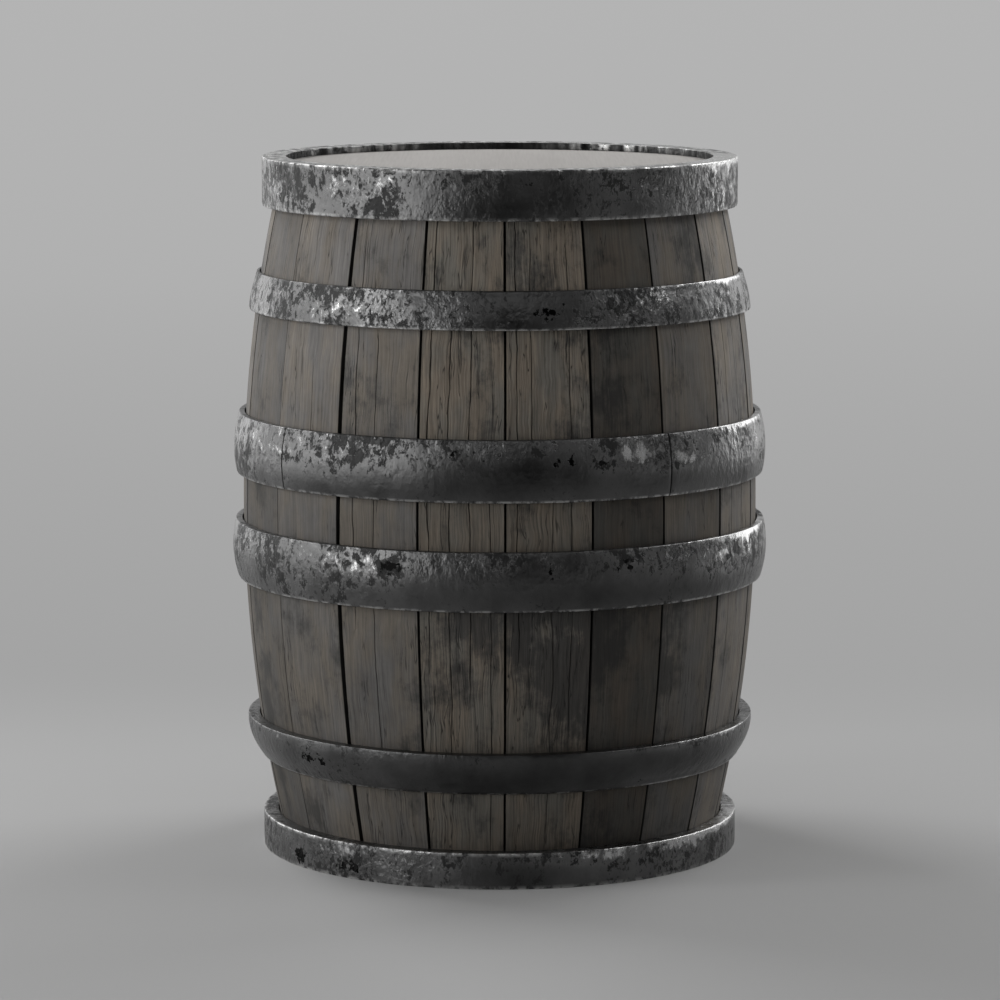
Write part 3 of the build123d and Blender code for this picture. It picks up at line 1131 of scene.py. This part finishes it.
@dataclass(frozen=True)
class RimHoopShape:
    """Angle section of a rim hoop: a skirt round the staves and a flange over their ends.

    Attributes:
        bend: the wall that it lies on.
        node: the CAD node.
        up: whether the flange is at the upper end.
        thick: thickness of the skirt.
        seed: makes the hoop's dents its own.
        scores: the lines across its face.
        flange: thickness of the flange.
        reach: how far the flange reaches inwards past the ends of the staves.
        clearance: gap to the staves.
        roundings: rounding of each corner, from the flange's inner edge outwards and round.
    """

    bend: Bend
    node: str
    up: bool
    thick: float
    seed: float
    scores: Sequence[Score] = ()
    flange: float = 5.3 * MM
    reach: float = 4.2 * MM
    clearance: float = 0.15 * MM
    roundings: Sequence[float] = (0.8 * MM, 1.1 * MM, 0.9 * MM, 0.5 * MM, 0.0, 0.5 * MM)

    @property
    def ends(self) -> Pair:
        """Heights of the flange's outer face and of the skirt's open end."""
        low, high = (corner.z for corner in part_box(self.node))
        return (high, low) if self.up else (low, high)

    @property
    def ledge(self) -> float:
        """Height of the flange's outer face."""
        return self.ends[0]

    @property
    def seat(self) -> float:
        """Radius of the staves that the skirt lies on."""
        return float(self.bend.radius(self.ends[1]))

    def corners(self) -> list[Triple]:
        """Lay out the section.

        Returns:
            Its corners, from the flange's inner edge outwards and round.
        """
        end, open_end = self.ends
        bore = self.seat + self.clearance
        outer = bore + self.thick
        inner = self.seat - self.bend.tongue - self.reach
        inside = end - self.flange if self.up else end + self.flange
        places = [
            (inner, end), (outer, end), (outer, open_end), (bore, open_end), (bore, inside), (inner, inside),
        ]
        return [(*place, rounding) for place, rounding in zip(places, self.roundings)]

    def edges(self) -> list[Pair]:
        """Both outer edges of the skirt, which are rubbed and nicked."""
        return [(self.seat + self.clearance + self.thick, level) for level in self.ends]


@dataclass(frozen=True)
class Panel:
    """A soft lamp behind a square of white cloth.

    Attributes:
        name: the lamp's name.
        place: the middle of the cloth.
        size: its width and height.
        aim: the point that it faces.
        glow: its brightness, where 1 is white.
    """

    name: str
    place: Triple
    size: Pair
    aim: Triple
    glow: float

    def hang(self) -> None:
        """Put the lamp in the scene."""
        data = bpy.data.lights.new(self.name, "AREA")
        data.shape = "RECTANGLE"
        data.size, data.size_y = self.size
        data.energy = math.pi * self.size[0] * self.size[1] * self.glow
        lamp = bpy.data.objects.new(self.name, data)
        bpy.context.scene.collection.objects.link(lamp)
        lamp.location = self.place
        lamp.rotation_euler = (Vector(self.place) - Vector(self.aim)).to_track_quat("Z", "Y").to_euler()


@dataclass(frozen=True)
class Studio:
    """The pale floor and backdrop, the soft lamps, and the camera at the photograph's place.

    Attributes:
        paper: colour of the floor, which curves up behind the cask.
        side: how far the floor reaches to each side.
        front: how far it reaches in front.
        sweep_start: how far behind the cask it curves up.
        sweep_radius: radius of that curve.
        wall: height of the backdrop above the curve.
        near_grey: brightness of the backdrop low behind the cask.
        far_grey: brightness of the backdrop far behind it.
        room: colour of the room's faint even light.
        camera_place: where the photograph was taken from.
        camera_pitch: how far the camera looks down, in degrees.
        sensor: width of its sensor in millimetres.
        lens: its focal length in millimetres.
        panels: the lamps.
    """

    paper: str = "#b5b5b5"
    side: float = 9.0
    front: float = 6.0
    sweep_start: float = 4.6
    sweep_radius: float = 2.2
    wall: float = 6.0
    near_grey: float = 0.365
    far_grey: float = 0.455
    room: str = "#1c1c1c"
    camera_place: Triple = (0.0002, -3.4567, 0.7382)
    camera_pitch: float = 7.843
    sensor: float = 36.0
    lens: float = 165.27
    panels: Sequence[Panel] = (
        Panel("left_panel", (-1.8, -0.35, 0.78), (2.3, 1.52), (0, -0.35, 0.78), 1.4),
        Panel("left_key", (-1.56, -0.51, 1.21), (0.4, 0.4), (0, 0, 0.3), 8.5),
        Panel("left_front_panel", (-1.5, -1.6, 0.75), (0.9, 1.4), (0, 0, 0.75), 1.73),
        Panel("left_rear_panel", (-1.5, 1.5, 0.75), (1.2, 1.4), (0, 0, 0.75), 1.6),
        Panel("left_rear_top", (-1.2, 1.2, 1.9), (1.2, 0.8), (0, 0, 0.3), 8.1),
        Panel("right_rear_panel", (1.6, 1.4, 0.75), (1.2, 1.4), (0, 0, 0.75), 1.5),
        Panel("right_rear_top", (1.2, 1.2, 1.9), (1.2, 0.8), (0, 0, 0.3), 4.9),
        Panel("right_overhead", (1.2, -0.2, 1.15), (0.9, 0.9), (1.15, -0.25, 0.0), 2.4),
        Panel("right_panel", (1.9, 0.1, 0.75), (1.2, 1.4), (0, 0.1, 0.75), 0.2),
        Panel("right_front_panel", (1.5, -1.3, 0.75), (0.9, 1.4), (0, 0, 0.75), 0.24),
        Panel("front_top", (0.3, -2.6, 1.9), (1.6, 1.0), (0, 0, 0.3), 0.6),
    )

    def stage(self) -> None:
        """Lay the floor, which curves up behind the cask into a backdrop."""
        deselect_all()
        bpy.ops.mesh.primitive_plane_add(size=1.0)
        sweep = bpy.context.object
        sweep.name = "studio_floor"
        corners = [(x, y, 0.0) for y in (-self.front, self.sweep_start) for x in (-self.side, self.side)]
        write_points(sweep, np.array(corners))
        bpy.context.tool_settings.mesh_select_mode = (False, True, False)
        bpy.ops.object.mode_set(mode="EDIT")
        bpy.ops.mesh.select_all(action="DESELECT")
        bpy.ops.object.mode_set(mode="OBJECT")
        for edge in sweep.data.edges:
            edge.select = all(sweep.data.vertices[v].co.y > 0 for v in edge.vertices)
        bpy.ops.object.mode_set(mode="EDIT")
        turn_centre = (0, self.sweep_start, self.sweep_radius)
        bpy.ops.mesh.spin(steps=24, angle=-math.pi / 2, axis=(1, 0, 0), center=turn_centre)
        bpy.ops.mesh.extrude_region_move(TRANSFORM_OT_translate={"value": (0, 0, self.wall)})
        bpy.context.tool_settings.mesh_select_mode = (True, False, False)
        bpy.ops.object.mode_set(mode="OBJECT")
        bpy.ops.object.shade_smooth()
        sweep.data.materials.append(self.paper_material())

    def paper_material(self) -> bpy.types.Material:
        """Build the studio paper: matt painted paper, which pales into an even grey far behind the cask.

        Returns:
            The finished material.
        """
        made, tree = new_material("painted_studio_paper")
        node = partial(add_node, tree)
        place = node("TexCoord", take="Object")
        behind = node("SeparateXYZ", (place,), take="Y")
        # The even grey takes over in the first 0.8 m behind the cask and pales over the next 5 m
        far = node("MapRange", (behind, 0.02, 0.8, 0.0, 1.0), interpolation_type="SMOOTHSTEP")
        even = node("MapRange", (behind, 0.5, 6.0, self.near_grey, self.far_grey))
        seen = node("LightPath", take="Is Camera Ray")
        mirrored = node("LightPath", take="Is Glossy Ray")
        through = node("LightPath", take="Is Transmission Ray")
        bent = node("Math", (mirrored, through), operation="MAXIMUM")
        direct = node("Math", (seen, bent), operation="MAXIMUM")
        glow = node("Emission", {"Strength": node("Math", (direct, even), operation="MULTIPLY")})
        paper = {"Base Color": linear(self.paper), "Roughness": 0.9, "Specular IOR Level": 0.2}
        matt = node("BsdfPrincipled", paper)
        node("OutputMaterial", (node("MixShader", (far, matt, glow)),))
        return made

    def light(self) -> None:
        """Hang the lamps and set the room's faint even light."""
        for panel in self.panels:
            panel.hang()
        world = bpy.data.worlds.new("studio_room")
        world.use_nodes = True
        world.node_tree.nodes["Background"].inputs["Color"].default_value = linear(self.room)
        world.node_tree.nodes["Background"].inputs["Strength"].default_value = 1.0
        bpy.context.scene.world = world

    def camera(self) -> None:
        """Place the camera as the photograph was taken: from the front, a little above the cask."""
        data = bpy.data.cameras.new("photo_camera")
        data.sensor_width = self.sensor
        data.lens = self.lens
        camera = bpy.data.objects.new("photo_camera", data)
        bpy.context.scene.collection.objects.link(camera)
        camera.location = self.camera_place
        camera.rotation_euler = (math.radians(90 - self.camera_pitch), 0, 0)
        bpy.context.scene.camera = camera
        bpy.context.scene.view_settings.view_transform = "Standard"


# How the staves in front have weathered, by the stave's number, and the painted shade on stave 1
FRONT_LOOKS: dict[int, StaveLook] = {
    16: StaveLook(tone=0.95, stains_and_shade=(StainAndShade(0.2, 130 * MM, 0.5, 60 * MM, 1.0),)),
    17: StaveLook(
        tone=1.35, joint=0.2 * MM,
        checks=(Check(0.55, 0.55, 0.75, 0.6 * MM, 2.0 * MM),),
        stains_and_shade=(StainAndShade(0.4, 330 * MM, 0.5, 50 * MM, -0.4), StainAndShade(0.5, 40 * MM, 0.8, 40 * MM, 0.6)),
    ),
    18: StaveLook(
        tone=1.32, joint=2.9 * MM,
        checks=(Check(0.20, 0.35, 0.92, 0.9 * MM, 3.4 * MM), Check(0.46, 0.10, 0.80, 0.7 * MM, 2.6 * MM)),
        stains_and_shade=(StainAndShade(0.1, 375 * MM, 0.3, 30 * MM, 1.0), StainAndShade(0.3, 130 * MM, 0.5, 50 * MM, -0.5)),
    ),
    19: StaveLook(
        Weathering.CHECKED, tone=1.55, joint=1.6 * MM,
        checks=(
            Check(0.12, 0.30, 1.00, 1.2 * MM, 3.6 * MM), Check(0.36, 0.10, 0.85, 1.0 * MM, 4.2 * MM),
            Check(0.60, 0.25, 1.00, 1.1 * MM, 3.8 * MM), Check(0.83, 0.02, 0.60, 0.9 * MM, 3.0 * MM),
        ),
        stains_and_shade=(StainAndShade(0.7, 150 * MM, 0.4, 30 * MM, 0.8), StainAndShade(0.6, 195 * MM, 0.5, 14 * MM, 0.7)),
    ),
    1: StaveLook(
        Weathering.CHECKED, tone=1.5, joint=1.5 * MM,
        checks=(
            Check(0.14, 0.30, 1.00, 1.2 * MM, 4.5 * MM), Check(0.30, 0.55, 0.95, 1.0 * MM, 3.6 * MM),
            Check(0.54, 0.05, 0.60, 0.9 * MM, 3.0 * MM), Check(0.76, 0.20, 0.95, 1.0 * MM, 3.4 * MM),
        ),
        stains_and_shade=(
            StainAndShade(0.65, 162 * MM, 0.5, 32 * MM, 1.4), StainAndShade(0.5, 208 * MM, 0.4, 10 * MM, 1.0),
            # Painted shade: the wide stain on the right part stands for the light falling off across it
            StainAndShade(0.95, 300 * MM, 0.34, 260 * MM, 0.9), StainAndShade(0.2, 300 * MM, 0.12, 200 * MM, 0.5),
        ),
    ),
    2: StaveLook(
        Weathering.SOILED, tone=0.75, joint=1.7 * MM, stains_and_shade=(StainAndShade(0.1, 150 * MM, 0.3, 50 * MM, 1.0),),
    ),
    3: StaveLook(tone=1.15, joint=1.3 * MM, stains_and_shade=(StainAndShade(0.1, 170 * MM, 0.4, 40 * MM, 0.8),)),
    4: StaveLook(
        tone=1.85, joint=1.7 * MM,
        checks=(Check(0.30, 0.15, 0.95, 0.7 * MM, 2.0 * MM), Check(0.62, 0.45, 0.90, 0.6 * MM, 2.0 * MM)),
        # Darker along the left edge, over most of the height
        stains_and_shade=(StainAndShade(0.0, 300 * MM, 0.25, 250 * MM, 0.6),),
    ),
    5: StaveLook(tone=1.75, joint=2.6 * MM),
}

# Bared, oiled, pitted and hammered areas of the hoops in front, with painted light and shade:
# the bared ones are partly painted highlights, and the oiled ones are painted shade
RUBS_AND_PAINTED_LIGHT: dict[str, Sequence[RubAndPaintedLight]] = {
    "top_rim_hoop": (
        RubAndPaintedLight(-38, 0.3, 9, 0.8, 0.6, 0.0, 0.3), RubAndPaintedLight(-68, 0.0, 12, 1.4, 0.2, 0.0, 0.4),
        RubAndPaintedLight(8, -0.2, 24, 1.4, -0.6), RubAndPaintedLight(10, 0.1, 6, 0.6, 0.0, -0.6), RubAndPaintedLight(36, 0.4, 8, 0.6, 0.7, 0.0, 0.4),
        RubAndPaintedLight(60, -0.1, 18, 1.2, 0.5, 0.0, 0.7), RubAndPaintedLight(78, 1.0, 24, 0.25, 1.4, 0.0, 0.6),
        RubAndPaintedLight(-28, 0.1, 4, 0.8, 0.4), RubAndPaintedLight(-7, 0.3, 6, 0.7, 0.5), RubAndPaintedLight(38, -0.4, 10, 0.6, -0.35),
    ),
    "upper_quarter_hoop": (
        RubAndPaintedLight(-40, -0.3, 11, 0.7, 0.65, 0.0, 0.3), RubAndPaintedLight(-68, 0.0, 12, 1.4, 0.2, 0.0, 0.4),
        RubAndPaintedLight(8, 0.0, 22, 1.5, -0.5), RubAndPaintedLight(12, 0.0, 9, 0.7, 0.0, 0.85), RubAndPaintedLight(38, 0.2, 10, 0.9, 0.7, 0.0, 0.6),
        RubAndPaintedLight(62, -0.2, 13, 0.9, 0.55, 0.0, 0.6), RubAndPaintedLight(66, 1.0, 18, 0.22, 1.5), RubAndPaintedLight(-7, 0.2, 6, 0.8, 0.45),
        RubAndPaintedLight(50, -0.5, 9, 0.6, -0.4), RubAndPaintedLight(71, -0.1, 7, 0.8, -0.3),
    ),
    "upper_bilge_hoop": (
        RubAndPaintedLight(-60, 0.5, 13, 0.55, 0.6), RubAndPaintedLight(-38, 0.5, 14, 0.5, 0.5, 0.0, 0.3), RubAndPaintedLight(0, -0.5, 44, 0.9, -0.9),
        RubAndPaintedLight(18, 0.2, 14, 0.3, 0.0, 0.9), RubAndPaintedLight(30, 0.45, 8, 0.5, 1.4), RubAndPaintedLight(43, 0.15, 7, 0.3, 1.2),
        RubAndPaintedLight(62, 0.4, 13, 0.8, 0.5, 0.0, 0.5), RubAndPaintedLight(66, 1.0, 18, 0.16, 1.6), RubAndPaintedLight(65, -0.7, 10, 0.5, -0.8),
        RubAndPaintedLight(42, -0.5, 13, 0.7, -0.35), RubAndPaintedLight(-40, -0.8, 20, 0.3, -0.45), RubAndPaintedLight(65, 0.1, 3, 0.7, -0.6),
    ),
    "lower_bilge_hoop": (
        RubAndPaintedLight(-60, 0.5, 16, 0.6, 0.4), RubAndPaintedLight(-36, 0.5, 12, 0.6, 0.6, 0.0, 0.3),
        RubAndPaintedLight(-22, 0.5, 4, 0.5, -0.1, 1.9), RubAndPaintedLight(-13, 0.5, 3, 0.3, 0.0, 1.0), RubAndPaintedLight(12, -0.5, 48, 0.9, -0.9),
        RubAndPaintedLight(10, 0.4, 7, 0.45, 0.0, 1.2), RubAndPaintedLight(26, 0.5, 5, 0.4, 0.0, 1.0), RubAndPaintedLight(38, 0.6, 7, 0.4, 1.0, 0.0, 0.3),
        RubAndPaintedLight(54, 0.3, 9, 0.6, 0.65, 0.0, 0.5), RubAndPaintedLight(66, 0.5, 4, 0.6, 0.9), RubAndPaintedLight(64, 1.0, 20, 0.16, 1.6),
        RubAndPaintedLight(50, -0.6, 16, 0.5, -0.4), RubAndPaintedLight(-30, 0.2, 5, 0.6, 0.4),
    ),
    "lower_quarter_hoop": (
        RubAndPaintedLight(10, 0.0, 50, 1.6, -0.95), RubAndPaintedLight(-49, 0.2, 5, 0.5, 0.0, 1.2), RubAndPaintedLight(-41, 0.1, 4, 0.4, 0.0, 1.2),
        RubAndPaintedLight(-60, 0.8, 18, 0.2, 0.7), RubAndPaintedLight(56, 1.0, 24, 0.22, 1.6), RubAndPaintedLight(64, -0.1, 8, 0.6, -0.5),
    ),
    "bottom_rim_hoop": (
        RubAndPaintedLight(-50, 0.3, 20, 1.0, 0.4, 0.0, 0.3), RubAndPaintedLight(-38, 0.5, 7, 0.5, 0.7), RubAndPaintedLight(4, -0.3, 18, 1.4, -0.8),
        RubAndPaintedLight(-36, -0.3, 9, 0.6, -0.5, 2.2), RubAndPaintedLight(-56, -0.3, 5, 0.7, -0.4, 2.1),
        RubAndPaintedLight(-20, 0.4, 8, 0.6, 0.7, 0.3), RubAndPaintedLight(22, 0.65, 12, 0.4, 1.15, 0.3, 0.5),
        RubAndPaintedLight(50, 0.6, 12, 0.45, 0.9, 0.2, 0.5), RubAndPaintedLight(66, 1.0, 26, 0.3, 1.6, 0.0, 0.6),
    ),
}


@dataclass(frozen=True)
class StaveWall:
    """All the staves round the cask.

    Attributes:
        bend: the bent wall that they make.
    """

    bend: Bend

    def span(self, number: int) -> Pair:
        """Read from a stave's CAD node how far it reaches round the cask.

        Args:
            number: the stave's number.

        Returns:
            Azimuths of its two joints.
        """
        angles = azimuths(read_points(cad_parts[f"stave_{number:02d}"]))
        if np.ptp(angles) > 180:
            angles = np.where(angles < 0, angles + 360, angles)
        return float(angles.min()), float(angles.max())

    def build(self) -> None:
        """Model and dress the staves."""
        finishes = {weathering: weathering.value.material() for weathering in Weathering}
        count = sum(name.startswith("stave_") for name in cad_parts)
        looks = [FRONT_LOOKS.get(number, StaveLook()) for number in range(1, count + 1)]
        for number, look in enumerate(looks, 1):
            right_joint = looks[number % count].joint
            finish = finishes[look.weathering]
            stave = Stave(number, self.bend, *self.span(number), look, right_joint, finish)
            piece = stave.build()
            stave.dress(piece)
            log.info("%s: %d faces", piece.name, len(piece.data.polygons))


@dataclass(frozen=True)
class Hooping:
    """The six hoops and the rivets that close the bar hoops' laps.

    Attributes:
        bend: the bent wall that they lie on.
    """

    bend: Bend

    def shapes(self) -> list[BarHoopShape | RimHoopShape]:
        """Size the six hoops as the photograph shows them.

        Returns:
            Sections of the four bar hoops, from the top, and of the two rim hoops.
        """
        bar = partial(BarHoopShape, self.bend)
        rim = partial(RimHoopShape, self.bend)
        marks = (Score(-52.6, 1.8 * MM, 0.45 * MM), Score(38.3, 1.8 * MM, 0.45 * MM))
        return [
            bar("upper_quarter_hoop", 2.2 * MM, 4.4 * MM, 4.6 * MM, 1, (Score(158),)),
            bar("upper_bilge_hoop", 4.5 * MM, 7.3 * MM, 4.5 * MM, 2, (*marks, Score(203))),
            bar("lower_bilge_hoop", 5.0 * MM, 7.9 * MM, 4.6 * MM, 3, (Score(157),)),
            bar("lower_quarter_hoop", 8.6 * MM, 8.9 * MM, 2.2 * MM, 4, (Score(201),)),
            rim("top_rim_hoop", True, 7.6 * MM, 7),
            rim("bottom_rim_hoop", False, 11.1 * MM, 6),
        ]

    def build(self) -> None:
        """Model and dress the hoops, and give the rivets the same iron."""
        iron = IronFinish("forged_wrought_iron").material()
        # Less scale and more oil, as on the smooth dark hoop near the foot
        oiled = IronFinish("oiled_wrought_iron", rubbed="#6b6b6b", cover=0.2).material()
        for shape in self.shapes():
            finish = oiled if shape.node == "lower_quarter_hoop" else iron
            hoop = Hoop(shape.node, finish, shape.corners(), shape.edges(), shape.scores,
                        RUBS_AND_PAINTED_LIGHT[shape.node], shape.ledge, shape.seed)
            piece = hoop.build()
            hoop.dress(piece)
            log.info("%s: %d faces", piece.name, len(piece.data.polygons))
        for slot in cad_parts["hoop_rivets"].material_slots:
            slot.material = iron


@dataclass(frozen=True)
class Joinery:
    """The boards and dowels of the heads, the bung and the keystone, which keep their CAD shapes.

    Attributes:
        heads: finish of the heads.
        plugs: finish of the bung and the keystone, turned oak that handling has browned.
    """

    heads: HeadFinish = HeadFinish("planed_oak_head")
    plugs: HeadFinish = HeadFinish("turned_oak_plug", "#7d7468", "#62594e")

    def dress(self) -> None:
        """Give each of the pieces its finish."""
        pale, turned = self.heads.material(), self.plugs.material()
        for name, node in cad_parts.items():
            plug = name in ("bung", "keystone")
            if plug or "_head_" in name:
                for slot in node.material_slots:
                    slot.material = turned if plug else pale
                log.info("%s: dressed", name)


def main() -> None:
    """Build the stage, the lamps, the camera and the cask's looks."""
    logging.basicConfig(level=logging.INFO, format="%(message)s")
    studio = Studio()
    studio.camera()
    studio.light()
    studio.stage()
    bend = Bend()
    StaveWall(bend).build()
    Hooping(bend).build()
    Joinery().dress()


if __name__ == "__main__":
    main()
